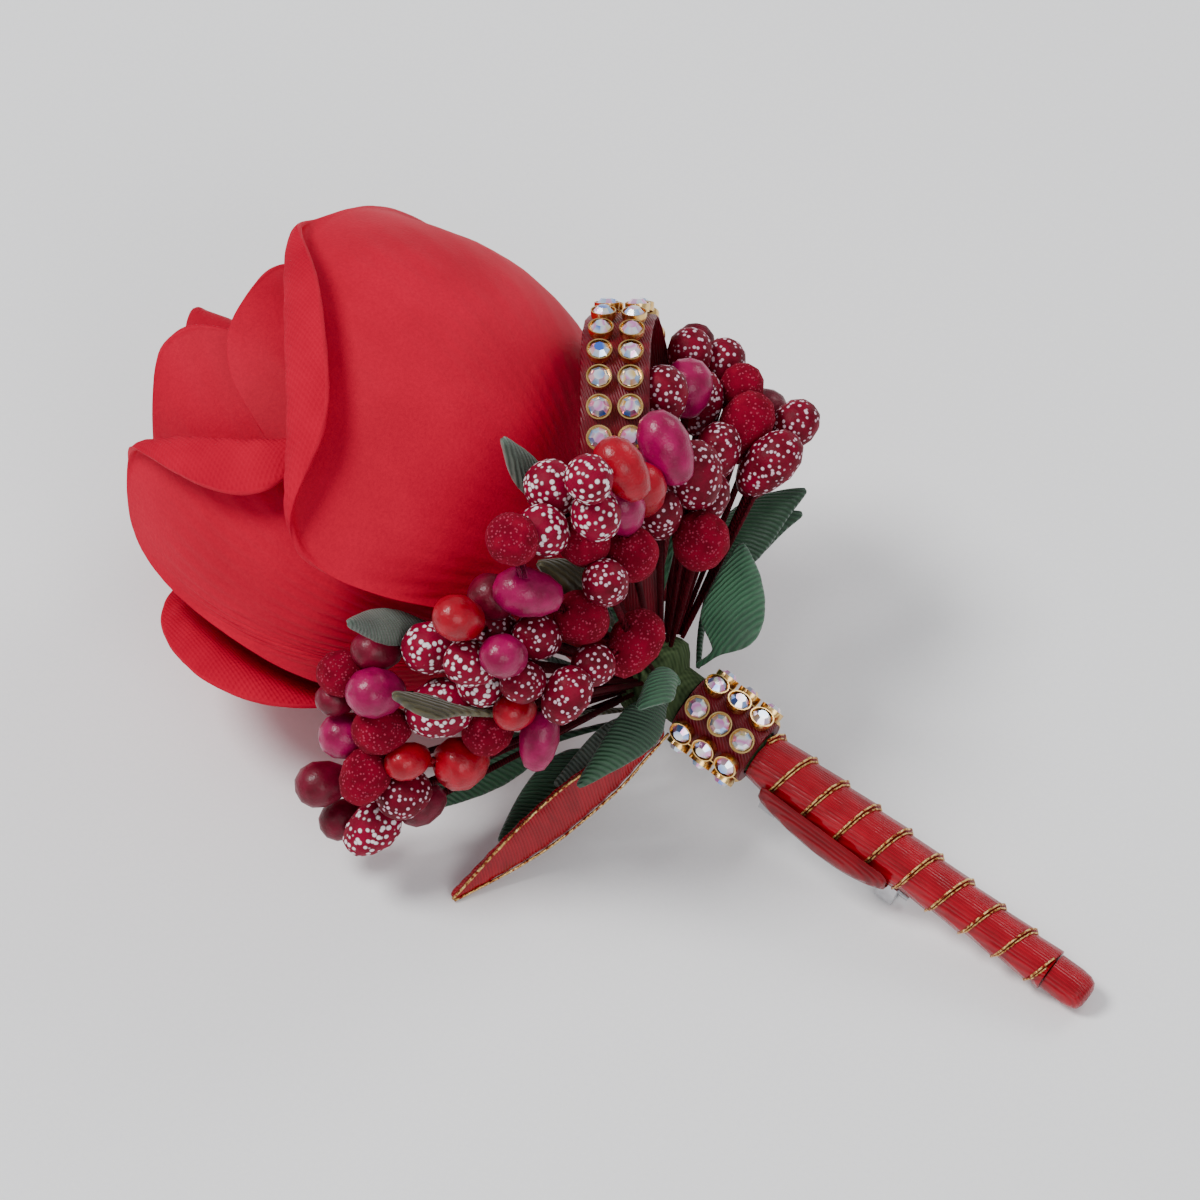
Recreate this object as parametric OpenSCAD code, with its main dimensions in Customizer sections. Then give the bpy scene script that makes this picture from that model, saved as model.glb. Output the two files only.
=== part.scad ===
// Flower lapel pin: a fabric rose with stamen sprays, leaves, a stone loop, a stone collar,
// a ribbon-wrapped stem, a ribbon tail and a bar pin. Millimetres.
// Design frame: x runs down the stem, y across it, z up from it; 0 is the middle of the collar.
// The last step lays the part down on the floor, as it rests by itself.

/* [Stem] */
// length from the middle of the collar to the stem end
stem_length = 50; // [40:1:60]
// outside diameter of the wrapped stem below the collar
stem_top_diameter = 6.2; // [5:0.1:8]
// outside diameter of the wrapped stem at its end
stem_end_diameter = 4.6; // [3.5:0.1:6]
// spacing of the turns of the ribbon round the stem
wrap_pitch = 4.4; // [3:0.1:6]
// step from one turn of the ribbon down to the next
wrap_step = 0.4; // [0.2:0.05:0.8]
// thickness of the ribbon layers round the stem
wrap_thickness = 1.0; // [0.6:0.1:1.4]

/* [Rose] */
// widest radius of the big front petal
rose_radius = 29; // [24:0.5:32]
// distance from the collar to the widest part of the rose
rose_middle = 48; // [42:0.5:54]
// thickness of the petal cloth
petal_thickness = 1.0; // [0.8:0.1:1.6]
// how much each petal lies further out for each degree round the rose
petal_spiral = 0.028; // [0:0.002:0.05]

/* [Stone trim] */
// outside diameter of a stone's metal cup
cup_diameter = 2.8; // [2.4:0.1:3.4]
// height of a cup
cup_height = 1.0; // [0.8:0.1:1.4]
// diameter of a stone
stone_diameter = 2.3; // [2:0.1:2.8]
// spacing of the stones along a row
stone_pitch = 3.1; // [3:0.05:3.6]
// thickness of the ribbon under the stones
band_thickness = 1.0; // [0.8:0.1:1.4]
// radius of the collar's ribbon
collar_radius = 3.8; // [3.6:0.1:4.4]

/* [Sprays] */
// diameter of a stamen's thread
thread_diameter = 0.5; // [0.4:0.05:0.6]
// radius of the taped boss that the threads grow out of
boss_radius = 5.2; // [4.8:0.1:6]

/* [Leaves and tail] */
// diameter of the taped neck between the collar and the boss
neck_diameter = 6.2; // [5.4:0.1:6.8]
// thickness of the leaf cloth
leaf_thickness = 1.0; // [0.8:0.1:1.4]
// thickness of the ribbon tail
tail_thickness = 1.0; // [0.8:0.1:1.4]

/* [Rest and view] */
// angle of the stem to the floor as the pin lies
rest_tilt = 12.55; // [8:0.05:18]
// height of the collar's middle above the floor
rest_height = 13.0; // [10:0.05:18]
// direction from which the front is seen, round from square on to the stem
view_round = 36; // [0:1:90]
// height of that direction above the floor
view_lift = 52; // [20:1:80]

/* [Hidden] */
// running gap between pieces that meet
gap = 0.15;

// the viewer's right, up and out directions, turned back into the design frame
function laid_back(v) = [v[0] * cos(rest_tilt) - v[2] * sin(rest_tilt), v[1],
                         v[0] * sin(rest_tilt) + v[2] * cos(rest_tilt)];
row_right = [cos(view_round), sin(view_round), 0];
row_out = [sin(view_round) * cos(view_lift), -cos(view_round) * cos(view_lift), sin(view_lift)];
seen_right = laid_back(row_right);
seen_out = laid_back(row_out);
seen_up = laid_back(cross(row_out, row_right));
function seen(p) = p[0] * seen_right + p[1] * seen_up + p[2] * seen_out;
function unit(v) = v / max(norm(v), 0.000001);
// a direction square to the stem: 0 faces the viewer, 90 the upper right, -90 the lower left
turn_zero = -30.5;
function around(g) = [0, sin(g + turn_zero), cos(g + turn_zero)];

// smooth reading of a table at row u, column c
function pick(t, i, c) = t[max(0, min(len(t) - 1, i))][c];
function smooth_read(t, u, c) =
    let (i = min(floor(u), len(t) - 2), f = u - i,
         a = pick(t, i - 1, c), b = pick(t, i, c), d = pick(t, i + 1, c), g = pick(t, i + 2, c))
    0.5 * (2 * b + (d - a) * f + (2 * a - 5 * b + 4 * d - g) * f * f
           + (3 * b - a - 3 * d + g) * f * f * f);
// straight reading of a two-column table
function steady(t, x) = lookup(x, t);

// a closed sheet from two grids of points, front and back, rows n by columns m
module sheet_solid(front, back) {
    n = len(front);
    m = len(front[0]);
    pts = concat([for (r = front) each r], [for (r = back) each r]);
    k = n * m;
    top = [for (i = [0:n - 2]) for (j = [0:m - 2])
           each [[i * m + j, i * m + j + 1, (i + 1) * m + j + 1],
                 [i * m + j, (i + 1) * m + j + 1, (i + 1) * m + j]]];
    low = [for (f = top) [k + f[2], k + f[1], k + f[0]]];
    rim = concat([for (j = [0:m - 2]) j], [for (i = [0:n - 2]) i * m + m - 1],
                 [for (j = [m - 1:-1:1]) (n - 1) * m + j], [for (i = [n - 1:-1:1]) i * m]);
    q = len(rim);
    side = [for (i = [0:q - 1]) each [[rim[i], k + rim[i], rim[(i + 1) % q]],
                                      [rim[(i + 1) % q], k + rim[i], k + rim[(i + 1) % q]]]];
    polyhedron(points = pts, faces = concat(top, low, side), convexity = 8);
}

// rose
claw_radius = 3;
claw_angle = 5;
claw_start = 4.6;
// the petals' common surface: a bowl up to its widest radius, then a gentle closing curve
function bowl_r(w) = (w - claw_radius) / (1 - sin(claw_angle));
function bowl_h(w, mid) = mid - bowl_r(w) * cos(claw_angle);
function bowl_turn(s, w, close) =
    let (c = bowl_r(w), s1 = c * (90 - claw_angle) * PI / 180)
    s < s1 ? claw_angle + s / c * 180 / PI : 90 + (s - s1) / close * 180 / PI;
function bowl_radius(s, w, close) =
    let (g = bowl_turn(s, w, close), c = bowl_r(w))
    g < 90 ? claw_radius + c * (sin(g) - sin(claw_angle)) : w - close * (1 - cos(g - 90));
function bowl_reach(s, w, close, mid) =
    let (g = bowl_turn(s, w, close), c = bowl_r(w))
    g < 90 ? mid - c * cos(g) : mid + close * sin(g - 90);

// height over the floor, and the soft flattening where the petals lie on it
function floor_gap(p) = rest_height - p[0] * sin(rest_tilt) + p[2] * cos(rest_tilt);
function pressed(z, low) = z < low + 1.75 ? low + 1.75 * exp((z - low - 1.75) / 1.75) : z;
floor_up = [-sin(rest_tilt), 0, cos(rest_tilt)];
function press(p, layer) = p + floor_up * (pressed(floor_gap(p), 0.75 + layer * (petal_thickness + 4 * gap))
                                           - floor_gap(p));

// one petal. spec: [middle direction, widest radius, closing radius, middle height,
//                   spiral of the left half, extra lift of the left edge, spiral of the right half,
//                   number of petals between this one and the floor]
// rows: [direction of the ray from the claw, reach to the fold, width rolled out, roll radius],
//       the reach and the width in percent of the rose's widest radius
function petal_edge(rows, sub) =
    [for (i = [0:(len(rows) - 1) * sub])
     let (u = i / sub, k = rose_radius / 100)
     [smooth_read(rows, u, 0), smooth_read(rows, u, 1) * k, smooth_read(rows, u, 2) * k,
      smooth_read(rows, u, 3)]];
function petal_grid(spec, rows, sub, flat_steps, roll_steps, side) =
    let (ed = petal_edge(rows, sub), n = len(ed),
         xy = [for (r = ed) [r[1] * sin(r[0]), r[1] * cos(r[0])]],
         dirs = [for (i = [0:n - 1])
                 let (d = unit(xy[min(n - 1, i + 1)] - xy[max(0, i - 1)]), q = [-d[1], d[0]])
                 q * xy[i] < 0 ? -q : q])
    [for (j = [0:flat_steps + roll_steps])
     [for (i = [0:n - 1])
      petal_point(spec, ed[i], dirs[i],
                  j <= flat_steps ? claw_start + (ed[i][1] - claw_start) * j / flat_steps : ed[i][1],
                  j <= flat_steps ? 0 : max(0.02, ed[i][2]) * (j - flat_steps) / roll_steps,
                  side)]];
function petal_point(spec, row, dir, reach, rolled, side) =
    let (x = reach * sin(row[0]), s = reach * cos(row[0]),
         g = bowl_turn(s, spec[1], spec[2]), r = bowl_radius(s, spec[1], spec[2]),
         h = bowl_reach(s, spec[1], spec[2], spec[3]),
         da = x / ((r + spec[1]) / 2) * 180 / PI,
         er = around(spec[0] + da), ea = around(spec[0] + da + 90), ax = [-1, 0, 0],
         nrm = sin(g) * er - cos(g) * ax, mer = cos(g) * er + sin(g) * ax,
         along = dir[1] * mer + dir[0] * ea,
         rise = spec[5] * pow(max(0, min(1, (-da - 30) / 30)), 2)
                - (da < 0 ? spec[4] : spec[6]) * da,
         al = min(rolled / row[3], PI * 0.96), left = rolled - al * row[3],
         ad = al * 180 / PI,
         p = r * er + h * ax + rise * nrm
             + (row[3] * sin(ad) + left * cos(ad)) * along
             + (row[3] * (1 - cos(ad)) + left * sin(ad)) * nrm,
         out = nrm * cos(ad) - along * sin(ad))
    press(p, spec[7]) + side * petal_thickness / 2 * out;
module petal(spec, rows, sub = 1, flat_steps = 6, roll_steps = 4)
    sheet_solid(petal_grid(spec, rows, sub, flat_steps, roll_steps, -1),
                petal_grid(spec, rows, sub, flat_steps, roll_steps, 1));

front_rows = [[-58, 69, 0, 2], [-50, 115.5, 0, 2], [-43, 155.2, 1.7, 2], [-35, 165.5, 17.2, 1.8],
              [-27, 167.9, 29.3, 1.6], [-19, 175.2, 31, 1.6], [-10, 188.6, 27.6, 1.6],
              [-3, 201.7, 19, 1.6], [4, 208.6, 6.9, 2], [14, 212.1, 6.9, 6], [26, 212.1, 17.2, 6],
              [38, 203.4, 22.4, 6], [50, 175.9, 17.2, 6], [62, 124.1, 0, 6]];
left_rows = [[-35, 69, 0, 2], [-26, 106.9, 0, 2], [-20, 137.9, 0, 2], [-17.5, 172.4, 0, 2],
             [-15, 193.1, 0, 2], [-10, 201.7, 1.7, 2], [-4, 201.7, 8.6, 1.6],
             [1, 189.7, 20.7, 1.6], [7, 170.7, 32.8, 1.6], [13, 153.8, 34, 1.6],
             [19, 141.4, 14, 1.6], [26, 137.9, 1.7, 1.6], [34, 137.9, 0, 1.6],
             [48, 113.8, 0, 2]];
far_left_rows = [[-50, 82.8, 0, 3], [-42, 144.8, 0, 3], [-30, 179.3, 3.4, 3], [-15, 193.1, 6.9, 3],
                 [0, 186.2, 3.4, 3], [12, 172.4, 5.2, 3.5], [20, 162.1, 20.7, 3.5],
                 [27, 144.8, 25.9, 3.5], [33, 117.2, 17.2, 3.5], [40, 89.7, 1.7, 3.5],
                 [50, 69, 0, 3]];
back_right_rows = [[-56, 75.9, 0, 2], [-45, 137.9, 0, 2], [-30, 172.4, 1.7, 2],
                   [-14, 189.7, 3, 2], [2, 196.6, 1.5, 2], [16, 189.7, 0, 2],
                   [30, 172.4, 0, 2], [44, 131, 0, 2], [54, 82.8, 0, 2]];
back_rows = [[-43, 84, 0, 2], [-39, 126, 0, 2], [-33, 160, 2, 1.8],
             [-18, 186.2, 17, 1.6], [-2, 196.6, 24.1, 1.6], [14, 189.7, 10.3, 2],
             [28, 172.4, 1.7, 2], [42, 131, 0, 2], [54, 82.8, 0, 2]];
inner_right_rows = [[-30, 75.9, 0, 2], [-19, 127.6, 0, 2], [-14, 143.1, 0, 2], [-10, 158.6, 0, 2],
                    [-4, 169.7, 1.7, 2], [3, 173.4, 3.4, 2], [8, 175.9, 5.2, 1.6],
                    [12, 176.9, 5.2, 1.6], [17, 170.7, 1.7, 2], [28, 158.6, 0, 2],
                    [44, 117.2, 0, 2]];
inner_left_rows = [[-40, 89.7, 0, 2], [-24, 134.5, 0, 2], [-10, 151.7, 0, 2], [0, 162.1, 1.7, 2],
                   [6, 172.4, 3.4, 2], [10, 179.3, 5.2, 2], [15, 179.3, 5.2, 2],
                   [19, 172.4, 3.4, 2], [30, 151.7, 0, 2], [44, 110.3, 0, 2]];
inner_back_rows = [[-44, 89.7, 0, 2], [-30, 137.9, 0, 2], [-14, 162.1, 3.4, 2], [0, 172.4, 5.2, 2],
                   [14, 165.5, 3.4, 2], [30, 144.8, 0, 2], [44, 103.4, 0, 2]];
bud_rows = [[-38, 72, 0, 2], [-29, 103, 0, 2], [-20, 118, 1, 2], [-10, 126, 2, 2], [0, 129, 3, 2],
            [10, 126, 2, 2], [20, 118, 1, 2], [29, 103, 0, 2], [38, 72, 0, 2]];

module petal_front() color("#e00a22")
    petal([40, rose_radius, 32, rose_middle + 1.5, petal_spiral, 1.5, 0.02, 0], front_rows, 2, 5, 3);
module petal_left() color("#d8081f")
    petal([-32, rose_radius * 0.914, 40, rose_middle, petal_spiral, 0, petal_spiral, 0], left_rows, 2, 4, 3);
module petal_far_left() color("#cf0a20")
    petal([-120, rose_radius * 0.9, 40, rose_middle, 0.012, 0, -0.005, 0], far_left_rows, 2, 4, 2);
module petal_back_right() color("#cf0a20")
    petal([122, rose_radius * 0.817, 38, rose_middle, 0.024, 0, 0.031, 2],
          back_right_rows, 2, 4, 1);
module petal_back() color("#c8081c")
    petal([172, rose_radius * 0.85, 36, rose_middle, 0.019, 0, 0.03, 1], back_rows, 2, 4, 2);
module petal_inner_right() color("#e60c22")
    petal([20, rose_radius * 0.707, 55, rose_middle, petal_spiral, 0, 0.036, 3],
          inner_right_rows, 1, 4, 2);
module petal_inner_left() color("#d8081f")
    petal([-50, rose_radius * 0.62, 70, rose_middle, 0.06, 0, petal_spiral, 3],
          inner_left_rows, 1, 4, 2);
module petal_inner_back() color("#d8081f")
    petal([128, rose_radius * 0.65, 60, rose_middle, 0.033, 0, 0.034, 3], inner_back_rows, 2, 4, 1);
module petal_inner_low() color("#cf0a20")
    petal([-142, rose_radius * 0.64, 55, rose_middle, 0.016, 0, 0.026, 2], inner_back_rows, 2, 5, 1);
module bud_petal_outer() color("#d8081f")
    petal([150, rose_radius * 0.469, 70, rose_middle, 0.006, 0, 0.006, 3], bud_rows, 1, 4, 1);
module bud_petal_middle() color("#cf0a20")
    petal([-60, rose_radius * 0.366, 80, rose_middle, 0.005, 0, 0.005, 3], bud_rows, 1, 4, 1);
module bud_petal_centre() color("#c8081c")
    petal([60, rose_radius * 0.269, 90, rose_middle, 0.003, 0, 0.003, 3], bud_rows, 1, 4, 1);

// rod from the neck, calyx under the petals, and the wound heart of the bud
// columns: radius in percent of the rose's, distance in percent of the rose's middle
core_rows = [[12.4, 34.2], [14.5, 36], [14.5, 46], [17, 60], [21.2, 76], [21.2, 88], [19.5, 95],
             [14.5, 106], [12.4, 121], [7.6, 131], [0, 134.4]];
core_rod = 1.3;
module rose_core() color("#a80818")
    rotate([0, -90, 0]) rotate_extrude($fn = 48)
        polygon(concat([[0, neck_start + 1], [core_rod, neck_start + 1],
                        [core_rod, rose_middle * 0.325]],
                       [for (r = core_rows) [r[0] * rose_radius / 100, r[1] * rose_middle / 100]]));

// stamen sprays
// heads are given as the viewer sees them, from the middle of the collar, on a rose of this size
drawn_radius = 29;
drawn_middle = 48;
function by_rose(p) = let (c = seen(p)) [c[0] * rose_middle / drawn_middle,
                                         c[1] * rose_radius / drawn_radius,
                                         c[2] * rose_radius / drawn_radius];
// columns: right, up, out, width, length, lean, carrier
// lean: 0 grows straight out, else its slant as seen; carrier: -1 is the boss, else a head's number
upper_heads = [
    [-3.9, 41.5, -1.5, 4.3, 5.5, 0, -1], [-3.25, 42.5, -7, 3.8, 5, 0, -1],
    [-0.1, 40.5, -4.3, 4.2, 5.5, 0, -1], [1.75, 37.5, -0.5, 4.2, 5.5, 0, -1],
    [-4.25, 37.5, 6, 4.8, 6, 0, -1], [-2.75, 36, 1.25, 4.3, 7, 85, -1],
    [2, 33.25, 3, 5.2, 8, 60, -1], [4.5, 35, -3.25, 4.2, 5, 0, -1],
    [7.5, 33.5, 0.25, 4.3, 6, 45, 10], [4.75, 29.25, 5.5, 4.8, 8, 45, -1],
    [3.5, 28.25, -0.25, 3.8, 5, 0, -1], [-1, 30.5, 7, 4.3, 6, 0, -1]];
right_heads = [
    [-7, 36.5, 11.5, 4.8, 6, 0, -1], [-6.75, 30.5, 20.75, 4.8, 8, 115, 4],
    [-3.75, 27.75, 15, 5.8, 7, 100, -1], [-2.25, 25.5, 9.5, 4.3, 5.5, 0, -1],
    [-7.5, 23.5, 16.75, 4.3, 5.5, 0, -1], [-3, 20.5, 13.25, 5.6, 6, 0, -1],
    [-9.25, 26, 21.75, 4.3, 6, 0, 4]];
middle_heads = [
    [-11.5, 28, 30, 4.4, 7, 125, 1], [-11.5, 23.75, 25.25, 4.2, 6, 0, 7],
    [-15, 26.75, 34.25, 4.4, 5, 0, 4], [-19, 26, 27, 5, 6, 0, -1], [-14.25, 23, 30, 4.6, 5.5, 0, 6],
    [-19.75, 21.5, 29, 4.6, 6, 0, 6], [-15.5, 20.5, 24.75, 5, 5.4, 0, -1],
    [-10.5, 19, 21.25, 5.2, 5.6, 0, -1]];
front_heads = [
    [-23, 20.5, 33.75, 4.8, 5.5, 0, 1], [-21.5, 15, 27.75, 4.6, 7, 170, 3],
    [-13.25, 16, 24.75, 4.3, 5.5, 0, 4], [-15.75, 12.25, 21, 5.2, 6.2, 0, -1],
    [-10.25, 9.5, 16.25, 5, 7.5, 55, -1], [-14.5, 7.25, 19.5, 4, 5, 0, 4],
    [-28.75, 12.25, 28.75, 4.2, 6, 0, 8], [-25.25, 14.5, 24.25, 4.2, 5.5, 0, -1],
    [-25.25, 10.75, 20, 4.6, 6, 150, -1], [-20.5, 10.25, 22.5, 4.3, 5.5, 0, -1]];
left_heads = [
    [-32, 9, 19.5, 5, 6, 0, -1], [-27.5, 7.5, 25, 4.4, 6.5, 0, -1],
    [-26.5, 5.25, 19.75, 4.4, 5, 0, -1], [-31.25, 2.5, 17, 5.8, 7, 20, -1],
    [-23, 2.25, 19.5, 3.4, 4.8, 0, -1], [-17.5, 4, 22.5, 4.4, 6, 60, -1],
    [-22, 5.5, 23.5, 4, 5, 0, -1], [-20.5, -1, 16, 3.6, 6.2, 80, -1],
    [-24, 8.25, 27.75, 4, 5.5, 0, 6]];
far_left_heads = [
    [-26, 0, 15, 4.6, 5.2, 0, -1], [-29, -3.5, 12, 5.2, 5.6, 0, -1],
    [-41.5, 6.25, 15.5, 4.4, 5.5, 0, 5], [-38, 4.25, 18.75, 4.8, 6, 0, 7],
    [-38, 8.75, 17.5, 3.8, 5, 0, -1], [-42.5, 3.5, 13.5, 3, 4, 0, -1],
    [-41.5, -0.5, 10.75, 4.4, 5.6, 0, -1], [-37.5, 0.25, 15.25, 4.8, 6, 0, -1],
    [-44.5, -6, 5, 4.4, 5.4, 0, -1], [-39.5, -5, 12.25, 4.8, 6, 60, 11],
    [-34.75, -3.25, 14, 3.4, 4.6, 0, 1], [-35.25, -7, 10, 4.6, 5.6, 0, -1],
    [-42.25, -10, 1.5, 3.8, 5, 0, -1], [-39, -11, 5.5, 4.6, 6.5, 40, 14],
    [-33.5, -8.25, 5.75, 3.8, 5, 0, -1]];

// turns the z axis to point along v
module point_along(v) {
    u = unit(v);
    rotate([0, acos(u[2]), atan2(u[1], u[0])]) children();
}
// outline of a bud-shaped head whose middle is at height z: blunt at the thread, fuller at its tip
function head_outline(wide, long, z) =
    [[wide * 0.24, z - long * 0.44], [wide * 0.41, z - long * 0.24], [wide * 0.5, z + long * 0.06],
     [wide * 0.43, z + long * 0.3], [wide * 0.25, z + long * 0.45], [0, z + long / 2]];
module head(wide, long) rotate_extrude($fn = 24)
    polygon(concat([[0, -long / 2]], head_outline(wide, long, 0)));
module stamen(wide, long, way) rotate_extrude($fn = 24)
    polygon(concat([[0, 0], [thread_diameter / 2, 0], [thread_diameter / 2, way - long / 2]],
                   head_outline(wide, long, way)));
// the threads fan out from one point inside the boss, so none crosses another
boss_middle = [-9, 0, 0];
module thread(a, b) translate(a) point_along(b - a) cylinder(d = thread_diameter, h = norm(b - a), $fn = 24);
module spray(heads) {
    for (r = heads) {
        c = by_rose([r[0], r[1], r[2]]);
        ray = unit(c - boss_middle);
        start = r[6] < 0 ? boss_middle + ray * (boss_radius + 2 * gap)
                         : by_rose([for (k = [0:2]) heads[r[6]][k]]);
        slant = unit(cos(r[5]) * seen_right + sin(r[5]) * seen_up + 0.25 * seen_out);
        if (r[5] == 0 && r[6] < 0) translate(start) point_along(ray) stamen(r[3], r[4], norm(c - start));
        else {
            thread(start, c);
            translate(c) point_along(r[5] == 0 ? ray : slant) head(r[3], r[4]);
        }
    }
}
module stamens_upper() color("#b3123f") spray(upper_heads);
module stamens_right() color("#c01545") spray(right_heads);
module stamens_middle() color("#b8143c") spray(middle_heads);
module stamens_front() color("#c01545") spray(front_heads);
module stamens_left() color("#b3123f") spray(left_heads);
module stamens_far_left() color("#a81238") spray(far_left_heads);

// leaves
// a leaf on a stalk: root, bend and tip as a smooth path, folded along its middle
// stalk: share of the path before the blade; fold: drop of the edges; roll: turn about the path
module leaf(root, bend, tip, wide, stalk = 0.4, fold = 0.25, roll = 0, blunt = 0.8) {
    n = 8;
    stops = [for (i = [0:n]) i < 2 ? stalk * i / 2 * 0.9 : stalk + (1 - stalk) * (i - 2) / (n - 2)];
    path = [for (f = stops) (1 - f) * (1 - f) * root + 2 * f * (1 - f) * bend + f * f * tip];
    half = [for (f = stops)
            let (g = max(0, (f - stalk) / (1 - stalk)))
            max(0.35, wide / 2 * pow(sin(180 * pow(g, 0.75)), blunt))];
    grid = [for (i = [0:n])
            let (t = unit(path[min(n, i + 1)] - path[max(0, i - 1)]),
                 s0 = unit(cross(t, seen_out)), n0 = cross(s0, t),
                 s = cos(roll) * s0 + sin(roll) * n0, m = cos(roll) * n0 - sin(roll) * s0)
            [for (q = [-1, 0, 1])
             path[i] + s * half[i] * q - m * fold * half[i] * abs(q)]];
    lift = [for (i = [0:n])
            let (t = unit(path[min(n, i + 1)] - path[max(0, i - 1)]),
                 s0 = unit(cross(t, seen_out)), n0 = cross(s0, t))
            (cos(roll) * n0 - sin(roll) * s0) * leaf_thickness / 2 * (stops[i] < stalk ? 0.6 : 1)];
    sheet_solid([for (i = [0:n]) [for (p = grid[i]) p - lift[i]]],
                [for (i = [0:n]) [for (p = grid[i]) p + lift[i]]]);
}
function neck_side(g) = [-neck_start - 1.6, 0, 0] + (neck_diameter / 2 + leaf_thickness / 2 + gap) * around(g);
// a leaf that grows from the boss; tip is the angle from the rose's axis
function boss_side(g, tip = 40) = boss_middle + (boss_radius + leaf_thickness / 2 + gap)
                                  * (sin(tip) * around(g) - [cos(tip), 0, 0]);
module leaf_rose_tip() color("#4a5a4a")
    leaf(boss_side(0, 52), by_rose([-15, 18.5, 15]), by_rose([-24.2, 31.4, 26.8]), 3.6, 0.72, 0.5, 0);
module leaf_left_tip() color("#4c5c4c")
    leaf(boss_side(-62, 40), by_rose([-27, 11.5, 4.5]), by_rose([-40.6, 11.9, 26.5]), 4.4, 0.7, 0.5, -20);
module leaf_left_curl() color("#5a5228")
    leaf(boss_side(-54, 85), by_rose([-25.3, 0.2, 20.3]), by_rose([-35.9, 4.3, 26.5]), 3, 0.7, 0.3, -39);
module leaf_dark_small() color("#4a4420")
    leaf(boss_side(-20, 42), by_rose([-10, 14, 14]), by_rose([-20.5, 18.2, 23.4]), 4, 0.66, 0.3, 0);
module leaf_upper_small() color("#3f5a3a")
    leaf(boss_side(80), by_rose([-3, 24, 8]), by_rose([-6.8, 34.8, 6.5]), 4.6, 0.6, 0.2, 0);
module leaf_right_long() color("#1f4a28")
    leaf(neck_side(96), by_rose([-3.5, 21, -4.5]), by_rose([9.3, 26.6, -5.5]), 6.5, 0.4, 0.4, 10);
module leaf_right_low() color("#1c4424")
    leaf(neck_side(114), by_rose([-3, 21, -9]), by_rose([9, 24, -9]), 5, 0.45, 0.4, 0);
module leaf_right_large() color("#2c6a3a")
    leaf(neck_side(76), by_rose([2, 9, 5]), by_rose([1.8, 20.6, 3.5]), 7.5, 0.25, 0.25, -12, 0.6);
module leaf_middle_dark() color("#143a1c")
    leaf(boss_side(8, 38), by_rose([-11.6, 10.5, 1.8]), by_rose([-13.6, 17.5, 3.5]), 4, 0.3, 0.25, 0);
module leaf_lower_long() color("#16401f")
    leaf(neck_side(-20), by_rose([-6.5, 2.5, 10]), by_rose([-16.4, -6.3, 8]), 5.6, 0.2, 0.3, 15);
module leaf_lower_short() color("#2a5e34")
    leaf(neck_side(12), by_rose([-5, 7, 8.5]), by_rose([-9.8, 2.4, 11.5]), 4.2, 0.25, 0.3, 0);
module leaf_lower_pale() color("#3c4f48")
    leaf(neck_side(-42), by_rose([-9, 0.5, 2.2]), by_rose([-19, -6.4, -0.5]), 5, 0.3, 0.2, 0);
module leaf_bottom() color("#1e3622")
    leaf(neck_side(-106), by_rose([-15, -1.5, -3]), by_rose([-25.2, -12.8, -2.5]), 5.6, 0.42, 0.25, 0);
module leaf_bottom_left() color("#1e3622")
    leaf(neck_side(-128), by_rose([-22, 0, -4]), by_rose([-34.4, -9.4, 1]), 6, 0.45, 0.25, 10);

// neck and collar
module tube_x(a, b, outer, inner) translate([a, 0, 0]) rotate([0, 90, 0])
    difference() {
        cylinder(r = outer, h = b - a, $fn = 64);
        translate([0, 0, -1]) cylinder(r = inner, h = b - a + 2, $fn = 64);
    }
// the taped neck above the collar, widening to the boss, with a hole for the rose's rod
collar_half = 1.5 * stone_pitch + 0.1;
neck_start = collar_half + 0.25;
module neck_wrap() color("#3a4a26") rotate([0, -90, 0]) rotate_extrude($fn = 48) {
    r = neck_diameter / 2;
    m = -boss_middle[0];
    polygon([[0, neck_start], [r, neck_start], [r, m - 1.7], [boss_radius * 0.86, m - 0.7],
             [boss_radius * 0.985, m], [boss_radius * 0.985, m + boss_radius * 0.17],
             for (g = [70:-10:20]) [boss_radius * sin(g), m + boss_radius * cos(g)],
             [core_rod + gap, m + boss_radius * 0.955], [core_rod + gap, neck_start + 1 - gap],
             [0, neck_start + 1 - gap]]);
}
module collar_band() color("#8c0a18")
    tube_x(-collar_half, collar_half, collar_radius, collar_radius - band_thickness);

// a cup with a pocket, and a stone with a table, both along z from 0
module cup() rotate_extrude($fn = 32)
    polygon([[0, 0], [cup_diameter * 0.46, 0], [cup_diameter / 2, cup_height * 0.5],
             [cup_diameter / 2, cup_height], [stone_diameter / 2 + 0.12, cup_height],
             [stone_diameter / 2 + 0.12, 0.3], [0, 0.3]]);
module stone() translate([0, 0, 0.42]) rotate_extrude($fn = 8)
    polygon([[0, 0], [stone_diameter * 0.36, 0], [stone_diameter / 2, 0.42],
             [stone_diameter * 0.27, 1.0], [0, 1.0]]);
module collar_places() for (i = [0:7]) for (j = [-1:1])
    translate([j * stone_pitch, 0, 0]) rotate([-(i * 45 + turn_zero), 0, 0])
        translate([0, 0, collar_radius + 0.12]) children();
module collar_settings() color("#d8a032") collar_places() cup();
module collar_stones() color("#cfd8f0") collar_places() stone();

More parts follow.
